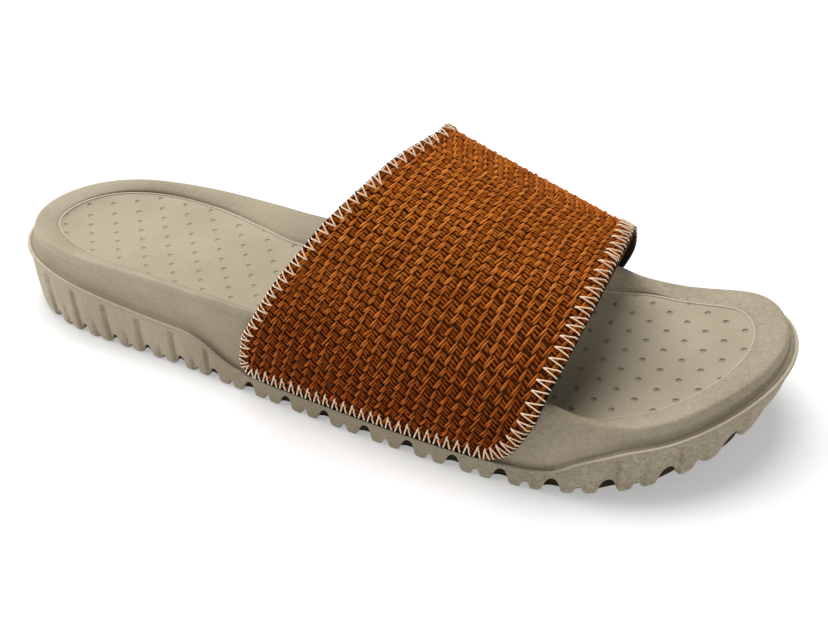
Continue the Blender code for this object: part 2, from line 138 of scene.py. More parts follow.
# Half a groove: distance from its middle over its radius, share of its height
ARCH = (
    (0.0, 1.0), (0.25, 0.97), (0.48, 0.87),
    (0.68, 0.7), (0.82, 0.5), (0.92, 0.32),
    (1.03, 0.17), (1.18, 0.07), (1.4, 0.015),
    (1.62, 0.0),
)
# Side of the lower tier: share of its height, inset in metres
FLANK = (
    (0.0, 0.0),
    (0.07, -0.0008),
    (0.45, -0.0005),
    (0.8, 0.0),
    (1.0, 0.0001),
)
# Rings of points up that side, as shares of its height
SIDE_LEVELS = (0.0, 0.012, 0.03, 0.06, 0.10, 0.16, 0.23, 0.31, 0.40, 0.49,
               0.58, 0.67, 0.75, 0.82, 0.88, 0.93, 0.97, 1.0)
# Channels of big and small grooves: depth, half width over the groove's radius,
# height share where they begin to fade, and over how much more they do
FLUTES = {
    True: (0.0015, 1.25, 0.80, 0.12),
    False: (0.0010, 1.625, 0.30, 0.25),
}
# Lip of the ledge: inset over LIP_PROUD, height from the ledge over LIP_HEIGHT
LIP = (
    (-0.35, -1.05), (-1.0, -0.92), (-1.4, -0.66),
    (-1.35, -0.36), (-0.95, -0.1), (-0.2, 0.04),
    (0.7, 0.0), (1.5, -0.22), (2.2, -0.62),
)
# Rows of faces with a painted highlight, counted from the first of the lip and of the bead
LIP_HIGHLIGHT = (4, 5)
BEAD_HIGHLIGHT = (1, 2, 3, 4)
# Pockets of the tread: distance in from the side, share of the groove's height
POCKET = (
    (0.0, 1.0),
    (0.0006, 1.0),
    (0.0013, 0.92),
    (0.0017, 0.5),
    (0.0019, 0.0),
)

# Cells of the weave: metres along the shoe, share lost higher up, place of the
# first, shift forward for each metre up the foot, tilt of low rows
CELL_ALONG = 0.00385
CELL_SHRINK = 0.12
CELL_START = 0.0165
CELL_LEAN = 0.27
ROW_TILT = 0.27
# Cells and rows of a patch of weave that is larger than the strap
WEAVE_CELLS = (-22, 23)
WEAVE_ROWS = (-3, 67)
# How far inside the strap's edges a strand's middle and its points stay
SITE_MARGIN = 0.0005
STRAND_MARGIN = 0.0003
# Rows of the weave: row number, metres from the strap's outer end
ROW_PLACES = (
    (-3.0, -0.012), (0.0, 0.0), (13.0, 0.05),
    (17.0, 0.064), (21.0, 0.0765), (29.0, 0.098),
    (37.0, 0.1195), (41.0, 0.132), (45.0, 0.146),
    (59.0, 0.2), (64.0, 0.22), (69.0, 0.24),
)
# Families of strands: name; cells, rows, share of the length and lift of each
# strand of a cell; reach, and the cells and rows in a reach of 1; half width and
# half height; height of the ends over the strap's face, and rise of the middle;
# how late the ends taper; sides, sections, seed
WEAVE = (
    ("weave_cords", ((-0.05, 0.0, 1.0, 0.0), (0.08, -0.13, 0.85, -0.00016)),
     (0.55, 0.32, 1.0), (0.00034, 0.00036), (-0.00058, 0.00046), 2.0, (6, 7, 11)),
    ("weave_bands",
     ((0.5, -0.32, 1.0, -0.0001), (0.5, -0.03, 1.0, 0.0), (0.5, 0.26, 1.0, -0.00004)),
     (0.42, 1.0, -0.48), (0.00043, 0.00036), (-0.00100, 0.00055), 2.6, (5, 6, 12)),
    ("weave_filler", ((0.0, 0.5, 1.0, 0.0), (0.5, 0.54, 1.0, 0.0)),
     (0.40, 1.0, -0.30), (0.00036, 0.00030), (-0.00118, 0.00020), 3.0, (4, 4, 13)),
)
# Their yarns: name, light and dark shade
YARNS = (
    ("cord_yarn", (0.92, 0.315, 0.052, 1.0), (0.50, 0.138, 0.013, 1.0)),
    ("band_yarn", (0.57, 0.163, 0.018, 1.0), (0.28, 0.068, 0.005, 1.0)),
    ("filler_yarn", (0.30, 0.080, 0.008, 1.0), (0.13, 0.030, 0.003, 1.0)),
)
# Sheets under the weave: depths of the upper and lower face, growth at the edges
BASE_SHEET = (0.00105, 0.00205, 0.0001)
LINING_SHEET = (0.00210, STRAP_THICKNESS, -0.0003)
SHEET_ROWS = 120
SHEET_COLUMNS = 40

# Stitches by kind of edge: pitch and depth in metres
STITCHES = {
    "front": (0.00385, 0.0053),
    "bottom": (0.0035, 0.0046),
    "back": (0.0038, 0.0036),
}
# Parts of a leg that show, as shares from the edge to the tip
WHOLE_LEG = ((0.0, 1.0),)
BOTTOM_LEG = ((0.0, 0.56), (0.66, 1.0))
THREAD_WIDE = 0.00024
THREAD_HIGH = 0.00026
THREAD_LIFT = 0.00050
THREAD_DIVE = 0.0006
ROOT_WIDE = 0.00026
ROOT_LIFT = 0.00018
ROOT_LENGTH = 0.0010
# Binding: metres outside the edge, how much more at the bottom, depth elsewhere,
# height at the bottom, half width at the bottom and elsewhere
BINDING_OUT = 0.00008
BINDING_DOWN = 2.4
BINDING_DEPTH = 0.00075
BINDING_PROUD = 0.00005
BINDING_WIDE = 0.00030
BINDING_THIN = 0.00016


def column(table, index):
    return np.array([row[index] for row in table], dtype=float)


def smooth(table, index, where):
    """Value of a table column at the places, without overshoot."""
    knots = column(table, 0)
    values = column(table, index)
    steps = np.diff(knots)
    slopes = np.diff(values) / steps
    tangents = np.concatenate([slopes[:1], np.zeros(len(slopes) - 1), slopes[-1:]])
    for k in np.flatnonzero(slopes[:-1] * slopes[1:] > 0.0):
        tangents[k + 1] = 2.0 * slopes[k] * slopes[k + 1] / (slopes[k] + slopes[k + 1])
    where = np.clip(where, knots[0], knots[-1])
    spot = np.clip(np.searchsorted(knots, where) - 1, 0, len(steps) - 1)
    width = steps[spot]
    t = (where - knots[spot]) / width
    start = values[spot] * (1.0 + 2.0 * t) * (1.0 - t) ** 2
    start = start + tangents[spot] * width * t * (1.0 - t) ** 2
    end = values[spot + 1] * t ** 2 * (3.0 - 2.0 * t)
    return start + end - tangents[spot + 1] * width * t ** 2 * (1.0 - t)


def ease(value):
    """Smooth step from 0 at 0 to 1 at 1."""
    value = np.clip(value, 0.0, 1.0)
    return value * value * (3.0 - 2.0 * value)


def closed_spline(knots, values, period):
    """Second derivatives of a cubic spline that closes on itself, and its steps."""
    ahead = np.append(np.diff(knots), period - knots[-1] + knots[0])
    behind = np.roll(ahead, 1)
    slope = (np.roll(values, -1) - values) / ahead
    every = np.arange(len(knots))
    matrix = np.diag(2.0 * (behind + ahead))
    matrix[every, every - 1] = behind
    matrix[every, (every + 1) % len(knots)] = ahead
    return np.linalg.solve(matrix, 6.0 * (slope - np.roll(slope, 1))), ahead


FULL_TURN = 2.0 * math.pi
plan_angle = np.arccos(1.0 - 2.0 * column(PLAN, 0))
inner_side = column(PLAN, 2) * SOLE_WIDTH
outer_side = -column(PLAN, 1) * SOLE_WIDTH
OUTLINE_KNOTS = np.concatenate([plan_angle, FULL_TURN - plan_angle[-2:0:-1]])
OUTLINE_VALUES = np.concatenate([inner_side, outer_side[-2:0:-1]])
OUTLINE_BEND, OUTLINE_STEP = closed_spline(OUTLINE_KNOTS, OUTLINE_VALUES, FULL_TURN)


def plan_side(angle):
    """Sideways place of the sole's outline at the angles."""
    turn = np.mod(angle, FULL_TURN)
    spot = np.clip(np.searchsorted(OUTLINE_KNOTS, turn, side="right") - 1, 0, None)
    following = (spot + 1) % len(OUTLINE_KNOTS)
    step = OUTLINE_STEP[spot]
    done = turn - OUTLINE_KNOTS[spot]
    left = step - done
    curve = (OUTLINE_BEND[spot] * left ** 3 + OUTLINE_BEND[following] * done ** 3) / (6.0 * step)
    low = OUTLINE_VALUES[spot] / step - OUTLINE_BEND[spot] * step / 6.0
    high = OUTLINE_VALUES[following] / step - OUTLINE_BEND[following] * step / 6.0
    return curve + low * left + high * done


plan_spread = plan_side(np.linspace(0.0, FULL_TURN, 721))
PLAN_MIDDLE = 0.5 * float(plan_spread.max() + plan_spread.min())


def outline(angle, inset=0.0):
    """Points of the outline at the angles, moved inwards by the inset."""
    nudge = 0.004
    x = -0.5 * SOLE_LENGTH * np.cos(angle)
    y = plan_side(angle) - PLAN_MIDDLE
    along_x = 0.5 * SOLE_LENGTH * (np.cos(angle - nudge) - np.cos(angle + nudge))
    along_y = plan_side(angle + nudge) - plan_side(angle - nudge)
    reach = np.hypot(along_x, along_y)
    return x + inset * along_y / reach, y - inset * along_x / reach


def share_of(x):
    """Share of the sole's length at the places, from the heel."""
    return np.clip(x / SOLE_LENGTH + 0.5, 0.0, 1.0)


def angle_of(x):
    return np.arccos(np.clip(-2.0 * x / SOLE_LENGTH, -1.0, 1.0))


def floor_height(x):
    """Height of the underside: heel lift and toe spring."""
    share = share_of(x)
    toe = np.clip((share - 0.70) / 0.30, 0.0, 1.0)
    heel = np.clip((0.11 - share) / 0.11, 0.0, 1.0)
    return TOE_SPRING * toe ** 2 + HEEL_LIFT * heel ** 2


def ledge_height(x):
    """Height of the ledge between the two tiers."""
    return SIDE_HEIGHT * smooth(LEVELS, 1, share_of(x))


def rim_height(x):
    return SIDE_HEIGHT * smooth(LEVELS, 2, share_of(x))


def wall_inset(x):
    """Inset of the upper wall, less where it seats the strap."""
    seat = smooth(RIM, 5, share_of(x))
    behind = STRAP_THICKNESS - STRAP_PROUD + STRAP_GAP
    return WALL_INSET + (behind - WALL_INSET) * seat


def by_side(index, angle):
    """Inset from the RIM table, its outer or inner column by side."""
    share = share_of(-0.5 * SOLE_LENGTH * np.cos(angle))
    outer = smooth(RIM, index, share)
    inner = smooth(RIM, index + 1, share)
    return PAD_INSET * np.where(np.sin(angle) < 0.0, outer, inner)


def pad_height(x, y):
    """Height of the insole's edge, higher at the inner arch."""
    share = share_of(x)
    arch = np.exp(-((share - 0.42) / 0.13) ** 2)
    inner = np.clip(y / (0.4 * SOLE_WIDTH), 0.0, 1.0)
    return SIDE_HEIGHT * smooth(LEVELS, 3, share) + ARCH_RISE * arch * inner


def cup_depth(x):
    """How far the insole is dished, most at the heel."""
    share = share_of(x)
    return HEEL_CUP * (0.35 + 0.65 * np.clip(1.0 - share / 0.55, 0.0, 1.0) ** 0.5)


def groove_place(index):
    return GROOVE_FIRST + GROOVE_PITCH * index + GROOVE_GROWTH * index ** 2


def groove_radius(index):
    span = GROOVE_RADIUS_TOE - GROOVE_RADIUS_HEEL
    return GROOVE_RADIUS_HEEL + span * index / (GROOVE_COUNT - 1)


def lean_at(x):
    """How far the channels up the side lean, most at the heel."""
    return CHANNEL_LEAN * np.clip(1.0 - share_of(x) / 0.42, 0.0, 1.0) ** 0.5


# Grooves as (centre, radius, big)
GROOVES = []
for number in range(GROOVE_COUNT):
    GROOVES.append((groove_place(number), groove_radius(number), True))
    if number + 1 < GROOVE_COUNT:
        small = groove_radius(number) * SMALL_GROOVE_SHARE
        GROOVES.append((groove_place(number + 0.5), small, False))


def groove_rise(x):
    """Height of the tread's grooves over the underside."""
    rise = np.zeros_like(x)
    for centre, radius, _ in GROOVES:
        away = np.abs(x - centre) / radius
        height = np.where(away < ARCH[-1][0], smooth(ARCH, 1, away), 0.0)
        rise = np.maximum(rise, height * radius * GROOVE_STRETCH * GROOVE_DEEPER)
    return rise


# Mesh helpers

def unit(vectors):
    """Vectors made one long."""
    return vectors / np.maximum(np.linalg.norm(vectors, axis=-1, keepdims=True), 1e-12)


def make_mesh(name, points, faces, uv=None):
    """Object of a mesh, linked to the scene, with its faces shaded smooth."""
    data = bpy.data.meshes.new(name)
    data.from_pydata(points.tolist(), [], faces.tolist())
    if uv is not None:
        layer = data.uv_layers.new(name="UVMap")
        layer.data.foreach_set("uv", uv[faces.ravel()].astype(np.float32).ravel())
    data.polygons.foreach_set("use_smooth", [True] * len(data.polygons))
    data.update()
    item = bpy.data.objects.new(name, data)
    bpy.context.scene.collection.objects.link(item)
    return item


def grid_faces(rows, columns, wrap=False, start=0):
    """Quads of a grid of points stored row by row; wrap closes each row."""
    spots = np.arange(start, start + rows * columns).reshape(rows, columns)
    if wrap:
        spots = np.concatenate([spots, spots[:, :1]], axis=1)
    corners = spots[:-1, :-1], spots[:-1, 1:], spots[1:, 1:], spots[1:, :-1]
    return np.stack(corners, -1).reshape(-1, 4)


def join(parts):
    """Stacks parts into one: points, faces, then any other value of a point."""
    points, faces, *others = [list(entries) for entries in zip(*parts)]
    start = 0
    for k, spots in enumerate(points):
        faces[k] = faces[k] + start
        start += len(spots)
    return [np.concatenate(entries) for entries in (points, faces, *others)]


def spline_rows(rows, steps):
    """Rows of points, smoothed across with a curve through every row."""
    last = len(rows) - 1
    made = []
    for k in range(last):
        before, here, there, after = (rows[min(max(k + j, 0), last)] for j in (-1, 0, 1, 2))
        for t in np.arange(steps) / steps:
            made.append(0.5 * (2.0 * here + (there - before) * t
                        + (2.0 * before - 5.0 * here + 4.0 * there - after) * t ** 2
                        + (3.0 * here - before - 3.0 * there + after) * t ** 3))
    return made + [rows[-1]]


# Sole pieces

def side_stations(count, with_grooves):
    """Angles from heel to toe along one side, dense at the grooves."""
    reach = STATION_REACH * SOLE_LENGTH
    spots = [np.linspace(-reach, reach, count)]
    if with_grooves:
        for centre, radius, big in GROOVES:
            fine = 27 if big else 15
            spots.append(centre + radius * np.linspace(-ARCH[-1][0], ARCH[-1][0], fine))
    x = np.sort(np.concatenate(spots))
    x = x[np.abs(x) <= reach]
    x = x[np.concatenate([[True], np.diff(x) > STATION_GAP])]
    start = np.linspace(0.0, float(angle_of(x[0])), 22)[:-1]
    end = np.linspace(float(angle_of(x[-1])), math.pi, 26)[1:]
    return np.concatenate([start, angle_of(x), end])


def ring_angles(angles):
    """Up the outer side from heel to toe and back down the inner side."""
    return np.concatenate([FULL_TURN - angles, angles[-2:0:-1]])


def ring_points(angles, inset, height):
    """Points of a ring around the sole, moved in from its outline."""
    x, y = outline(angles, inset)
    return np.stack([x, y, height + 0.0 * x], -1)


def both_sides(ring, stations):
    """Outer and inner points of a ring from heel to toe, and the width between."""
    outer = ring[:stations]
    inner = ring[(len(ring) - np.arange(stations)) % len(ring)]
    return outer, inner, np.linalg.norm(inner - outer, axis=1)


def flute_inset(x, up):
    """Depth of the channels up the side at a height share."""
    depth = np.zeros_like(x)
    wall = ledge_height(x) - floor_height(x) - LIP_HEIGHT
    strength = ease((wall - FLUTE_WALL_LOW) / (FLUTE_WALL_FULL - FLUTE_WALL_LOW))
    for centre, radius, big in GROOVES:
        deepest, width, fade_from, fade_run = FLUTES[big]
        # the crease is at u = 1, the shallow flank at u = -1
        facing = -1.0 if centre < FLUTE_TURN else 1.0
        u = (x + float(lean_at(centre)) * up - centre) / (radius * width) * facing
        shape = (0.5 + 0.5 * np.clip(u, -1.0, 1.0)) ** FLUTE_HOLLOW
        shape = shape * ease((1.0 - u) / FLUTE_CREASE)
        fade = 1.0 - ease((up - fade_from) / fade_run)
        depth = np.maximum(depth, deepest * shape * fade * strength)
    return depth


def build_lower():
    """Lower tier: lugs, channels and lip, and the tread's pockets, painted dark as shade."""
    stations = side_stations(300, True)
    angles = ring_angles(stations)
    x0, _ = outline(angles)
    floor = floor_height(x0)
    bottom = floor + groove_rise(x0)
    ledge = ledge_height(x0)
    top = ledge - LIP_HEIGHT
    ends = np.abs(2.0 * share_of(x0) - 1.0) ** 8
    rings = []
    for share in SIDE_LEVELS:
        z = bottom + share * (top - bottom)
        up = np.clip((z - floor) / (top - floor), 0.0, 1.0)
        over = np.clip((z - bottom) / EDGE_ROUND, 0.0, 1.0)
        inset = smooth(FLANK, 1, up) + END_UNDERCUT * ends * (1.0 - up) ** 1.5
        inset = inset + flute_inset(x0, up)
        inset = inset + EDGE_ROUND * (1.0 - np.sqrt(1.0 - (1.0 - over) ** 2))
        rings.append(ring_points(angles, inset, z))
    for inset, z in LIP:
        rings.append(ring_points(angles, inset * LIP_PROUD, ledge + z * LIP_HEIGHT))
    foot = wall_inset(x0)
    for inset in (0.5 * foot + 0.0012, foot + 0.0030):
        rings.append(ring_points(angles, inset, ledge + LIP[-1][1] * LIP_HEIGHT))
    rings = np.array(rings)
    wall_faces = grid_faces(len(rings), len(angles), wrap=True)
    outer_x = x0[:len(stations)]
    rise = groove_rise(outer_x)
    outer, inner, width = both_sides(rings[0], len(stations))
    near = [np.minimum(step / np.maximum(width, 1e-6), 0.5) for step, _ in POCKET]
    t = np.stack(near + [1.0 - share for share in near[::-1]], 1)[:, :, None]
    under = outer[:, None, :] * (1.0 - t) + inner[:, None, :] * t
    for step, (_, share) in enumerate(POCKET):
        for c in (step, -1 - step):
            level = share * rise + (1.0 - share) * POCKET_ROOF
            under[:, c, 2] = floor_height(outer_x) + level
    cap = grid_faces(len(stations), 2 * len(POCKET))
    points, faces = join([(rings.reshape(-1, 3), wall_faces), (under.reshape(-1, 3), cap)])
    sole = make_mesh("lower_sole", points, faces)
    row = np.arange(len(wall_faces)) // len(angles)
    spot = x0[np.arange(len(wall_faces)) % len(angles)]
    # no painted highlight on the lip where the strap covers it; the lip's rows take material 2
    covered = (spot > strap_edge(0.0, 1)) & (spot < strap_edge(0.0, 2))
    highlit = np.isin(row - len(SIDE_LEVELS), LIP_HIGHLIGHT) & ~covered
    # the tread's pockets take material 1, painted shade
    kind = np.concatenate([2 * highlit.astype(np.int32), np.ones(len(cap), dtype=np.int32)])
    sole.data.polygons.foreach_set("material_index", kind)
    return sole


def build_upper():
    """Upper tier: cove, wall, rolled rim and the seat of the insole."""
    angles = ring_angles(side_stations(420, False))
    x0, _ = outline(angles)
    foot = ledge_height(x0) - 0.58 * LIP_HEIGHT
    rim = rim_height(x0)
    crest = by_side(1, angles)
    shoulder = SHOULDER_SHARE * crest
    pad = by_side(3, angles)
    lip = pad_height(*outline(angles, pad))
    tall = rim - foot
    wall = wall_inset(x0)
    slope = pad - crest
    profile = (
        (0.0010, foot - 0.0003),
        (0.0011, foot + 0.0003),
        (0.30 * wall + 0.0010, foot + 0.06 * tall),
        (0.75 * wall, foot + 0.17 * tall),
        (0.95 * wall, foot + 0.36 * tall),
        (0.60 * wall + 0.40 * shoulder, foot + 0.60 * tall),
        (shoulder, rim - RIM_SHOULDER * 1.9),
        (0.6 * shoulder + 0.4 * crest, rim - 0.5 * RIM_SHOULDER),
        (crest, rim),
        (crest + 0.45 * slope, 0.72 * rim + 0.28 * lip),
        (crest + 0.80 * slope, 0.30 * rim + 0.70 * lip + 0.0001),
        (pad - BEAD_WIDTH - 0.0003, lip + BEAD_FOOT + 0.00002),
    )
    rows = spline_rows([np.stack([a + 0.0 * z, z], -1) for a, z in profile], 4)
    bead_row = len(rows)
    for turn in np.linspace(0.0, math.pi, 7):
        inset = pad - BEAD_WIDTH + 0.5 * BEAD_WIDTH * (1.0 - math.cos(turn))
        base = BEAD_FOOT * (1.0 - turn / math.pi)
        rows.append(np.stack([inset, lip + base + BEAD_RISE * math.sin(turn)], -1))
    rows.append(np.stack([pad - 0.00002, lip - 0.5 * PAD_THICKNESS], -1))
    rows.append(np.stack([pad + 0.0020, lip - PAD_THICKNESS], -1))
    rings = np.array([ring_points(angles, row[:, 0], row[:, 1]) for row in rows])
    faces = grid_faces(len(rings), len(angles), wrap=True)
    sole = make_mesh("upper_sole", rings.reshape(-1, 3), faces)
    row = np.arange(len(faces)) // len(angles)
    # rows of the bead take material 1, a painted highlight
    highlit = np.isin(row - bead_row, BEAD_HIGHLIGHT)
    sole.data.polygons.foreach_set("material_index", highlit.astype(np.int32))
    return sole


def build_insole():
    """Insole: a dished top with a rounded edge, and its side."""
    stations = side_stations(380, False)
    angles = ring_angles(stations)
    x, y = outline(angles, by_side(3, angles))
    ring = np.stack([x, y, pad_height(x, y)], -1)
    outer, inner, width = both_sides(ring, len(stations))
    t = 0.5 - 0.5 * np.cos(np.linspace(0.0, math.pi, PAD_COLUMNS))
    grid = outer[:, None, :] * (1.0 - t)[None, :, None] + inner[:, None, :] * t[None, :, None]
    depth = cup_depth(grid[:, :, 0]) * np.minimum(1.0, 2.2 * width / SOLE_WIDTH)[:, None]
    grid[:, :, 2] -= depth * (1.0 - (2.0 * t - 1.0) ** 2)[None, :]
    away = np.minimum(t, 1.0 - t)[None, :] * width[:, None] / PAD_ROUND
    over = 1.0 - np.clip(away, 0.0, 1.0)
    edge_drop = 0.6 * PAD_ROUND
    grid[:, :, 2] -= edge_drop * (1.0 - np.sqrt(1.0 - over ** 2))
    side = np.stack([ring, ring])
    side[0, :, 2] -= 0.8 * PAD_THICKNESS
    side[1, :, 2] -= edge_drop
    points, faces = join([
        (grid.reshape(-1, 3), grid_faces(len(stations), PAD_COLUMNS)[:, ::-1]),
        (side.reshape(-1, 3), grid_faces(2, len(ring), wrap=True))])
    return make_mesh("insole", points, faces)


# Strap

def strap_edge(t, index):
    """Back (1) or front (2) edge of the strap at a share over the foot."""
    return SOLE_LENGTH * (smooth(STRAP_EDGES, index, t) - 0.5)


def strap_point(along, t, lift=0.0):
    """Strap's outer face at a place along the shoe and a share over the foot."""
    along, t, lift = np.broadcast_arrays(along, t, lift)
    upright = STRAP_UPRIGHT_SHARE
    outer_x, outer_y = outline(FULL_TURN - angle_of(along), lift - STRAP_PROUD)
    inner_x, inner_y = outline(angle_of(along), lift - STRAP_PROUD)
    back = STRAP_EDGES[5][1]
    share = (along / SOLE_LENGTH + 0.5 - back) / (STRAP_EDGES[5][2] - back)
    apex = STRAP_APEX_BACK + (STRAP_APEX_FRONT - STRAP_APEX_BACK) * share - lift
    turn = np.clip(math.pi * (t - upright) / (1.0 - 2.0 * upright), 0.0, math.pi)
    over = np.abs(np.cos(turn)) ** STRAP_BULGE
    height = np.abs(np.sin(turn)) ** STRAP_RISE
    near = turn < 0.5 * math.pi
    edge_y = np.where(near, outer_y, inner_y)
    y = STRAP_APEX_SIDE + (edge_y - STRAP_APEX_SIDE) * over
    z = STRAP_UPRIGHT + (apex - STRAP_UPRIGHT) * height
    end = np.minimum(t, 1.0 - t) / upright
    low = end < 1.0
    z = np.where(low, STRAP_FOOT + (STRAP_UPRIGHT - STRAP_FOOT) * end, z)
    x = np.where(low, np.where(near, outer_x, inner_x), along)
    return np.stack([x, y, z], -1)


# Metres over the foot, for places along the shoe and shares over the foot
ARC_X = np.linspace(-0.046, 0.098, 37)
ARC_T = np.linspace(0.0, 1.0, 601)
arc_points = strap_point(ARC_X[:, None], ARC_T[None, :])
arc_steps = np.linalg.norm(np.diff(arc_points, axis=1), axis=-1)
ARC_RUN = np.concatenate([np.zeros((len(ARC_X), 1)), np.cumsum(arc_steps, axis=1)], axis=1)
STRAP_RUN = float(np.interp(0.03, ARC_X, ARC_RUN[:, -1]))


def full_run(along):
    """Metres over the whole foot at a place along the shoe."""
    return np.interp(along, ARC_X, ARC_RUN[:, -1])


def share_over(along, run):
    """Share over the foot of a place along the shoe and metres from the outer end."""
    spot = (along.ravel() - ARC_X[0]) / (ARC_X[1] - ARC_X[0])
    low = np.clip(np.floor(spot).astype(int), 0, len(ARC_X) - 2)
    mix = np.clip(spot - low, 0.0, 1.0)
    flat = np.broadcast_to(run, along.shape).ravel()
    table = np.stack([np.interp(flat, line, ARC_T) for line in ARC_RUN])
    pick = np.arange(len(flat))
    share = table[low, pick] * (1.0 - mix) + table[low + 1, pick] * mix
    return share.reshape(along.shape)


def strap_limits(t):
    """Back and front edge of the strap at a share over the foot, corners round."""
    end = np.minimum(t, 1.0 - t) / UPRIGHT_RATE
    short = np.clip(STRAP_CORNER - end, 0.0, STRAP_CORNER)
    pull = STRAP_CORNER - np.sqrt(STRAP_CORNER ** 2 - short ** 2)
    return strap_edge(t, 1) + pull, strap_edge(t, 2) - pull


def fabric_place(cell, row):
    """Place along the shoe and metres over the foot of a spot of the weave."""
    run = smooth(ROW_PLACES, 1, row)
    climb = np.minimum(run, STRAP_RUN - run)
    pitch = CELL_ALONG * (1.0 - CELL_SHRINK * ease((climb - 0.050) / 0.045))
    along = CELL_START + CELL_LEAN * climb + cell * pitch
    tilt = ROW_TILT * (1.0 - ease((climb - 0.012) / 0.055))
    tilt = np.where(run > 0.5 * STRAP_RUN, -tilt, tilt)
    return along, run - tilt * cell * pitch


def on_share(along, t, height):
    """Points over the strap's outer face, and the face's outward normals there."""
    step = 0.0004
    nudge = 0.002
    spot = strap_point(along, t)
    ahead = strap_point(along + step, t) - strap_point(along - step, t)
    above = strap_point(along, np.minimum(t + nudge, 1.0))
    up = above - strap_point(along, np.maximum(t - nudge, 0.0))
    normal = unit(np.cross(ahead, up))
    return spot + normal * height[..., None], normal


def on_strap(along, run, height):
    """The same for metres over the foot in place of a share."""
    return on_share(along, share_over(along, run), height)


def tubes(paths, normals, wide, high, sides):
    """Oval tubes along many paths at once, with uv along and around."""
    count, rings, _ = paths.shape
    along = unit(np.gradient(paths, axis=1))
    side = unit(np.cross(along, normals))
    up = np.cross(side, along)
    turn = np.linspace(0.0, FULL_TURN, sides, endpoint=False)
    ring = (paths[:, :, None, :]
            + side[:, :, None, :] * (wide[..., None] * np.cos(turn))[..., None]
            + up[:, :, None, :] * (high[..., None] * np.sin(turn))[..., None])
    one = grid_faces(rings, sides, wrap=True)
    faces = (one[None] + (np.arange(count) * rings * sides)[:, None, None]).reshape(-1, 4)
    u = np.broadcast_to(np.linspace(0.0, 1.0, rings)[None, :, None], ring.shape[:3])
    v = np.broadcast_to((turn / FULL_TURN)[None, None, :], ring.shape[:3])
    stray = np.arange(count)[:, None, None] * 0.618
    uv = np.stack([u + stray, v], -1).reshape(-1, 2)
    return ring.reshape(-1, 3), faces, uv


def room(along, run, margin):
    """Back, front and inner end of the strap at a spot, a margin in."""
    back, front = strap_limits(share_over(along, run))
    return back + margin, front - margin, full_run(along) - margin


def strands(name, offsets, run, section, height, point, detail):
    """One family of short strands, a few in each cell of the weave."""
    reach, lean_cell, lean_row = run
    wide, high = section
    lift, bow = height
    sides, rings, seed = detail
    dice = np.random.default_rng(seed)
    grid = np.meshgrid(np.arange(*WEAVE_CELLS), np.arange(*WEAVE_ROWS), indexing="ij")
    cells, rows = (part.ravel() for part in grid)
    q = np.linspace(-1.0, 1.0, rings)[None, :]
    taper = np.clip(1.03 - np.abs(q) ** point, 0.0, 1.0) ** 0.7
    parts = []
    for off_cell, off_row, length, drop in offsets:
        a0 = cells + off_cell + dice.normal(0.0, 0.035, len(cells))
        b0 = rows + off_row + dice.normal(0.0, 0.035, len(cells))
        along, run = fabric_place(a0, b0)
        back, front, end = room(along, run, SITE_MARGIN)
        keep = (along > back) & (along < front) & (run > SITE_MARGIN) & (run < end)
        a0 = a0[keep][:, None]
        b0 = b0[keep][:, None]
        stretch = 1.0 + dice.normal(0.0, 0.05, a0.shape)
        swing = dice.normal(0.0, 0.05, a0.shape)
        half = q * reach * (stretch * length)
        a = a0 + half * (lean_cell + swing)
        b = b0 + half * (lean_row + dice.normal(0.0, 0.07, a0.shape))
        along, run = fabric_place(a, b)
        back, front, end = room(along, run, STRAND_MARGIN)
        along = np.clip(along, back, front)
        run = np.clip(run, STRAND_MARGIN, end)
        thick = 1.0 + dice.normal(0.0, 0.07, a0.shape)
        rise = lift + drop + bow * (1.0 - q ** 2) + dice.normal(0.0, 0.00006, a0.shape)
        paths, normals = on_strap(along, run, rise + 0.0 * along)
        parts.append(tubes(paths, normals, wide * thick * taper, high * thick * taper, sides))
    return make_mesh(name, *join(parts))


def strap_sheet(name, top, bottom, grow):
    """Closed shell between two depths under the outer face, grown at its edges."""
    t = np.linspace(0.0, 1.0, SHEET_ROWS)
    fine = np.concatenate([np.linspace(0.0, 0.04, 12)[:-1], t[(t > 0.04) & (t < 0.96)],
                           np.linspace(0.96, 1.0, 12)])
    back, front = strap_limits(fine)
    w = np.linspace(0.0, 1.0, SHEET_COLUMNS)[None, :]
    along = (back[:, None] - grow) * (1.0 - w) + (front[:, None] + grow) * w
    reach = grow * UPRIGHT_RATE
    over = np.broadcast_to((fine * (1.0 + 2.0 * reach) - reach)[:, None], along.shape)
    count, columns = along.shape
    size = count * columns
    points = np.concatenate([strap_point(along, over, lift).reshape(-1, 3)
                             for lift in (top, bottom)])
    grid = np.arange(size).reshape(count, columns)
    rim = np.concatenate([grid[0], grid[1:, -1], grid[-1, -2::-1], grid[-2:0:-1, 0]])
    after = np.roll(rim, -1)
    faces = np.concatenate([grid_faces(count, columns),
                            grid_faces(count, columns, start=size)[:, ::-1],
                            np.stack([rim, rim + size, after + size, after], -1)])
    uv = np.concatenate([np.stack([along, over], -1).reshape(-1, 2)] * 2)
    return make_mesh(name, points, faces, uv)


# Edge of the strap

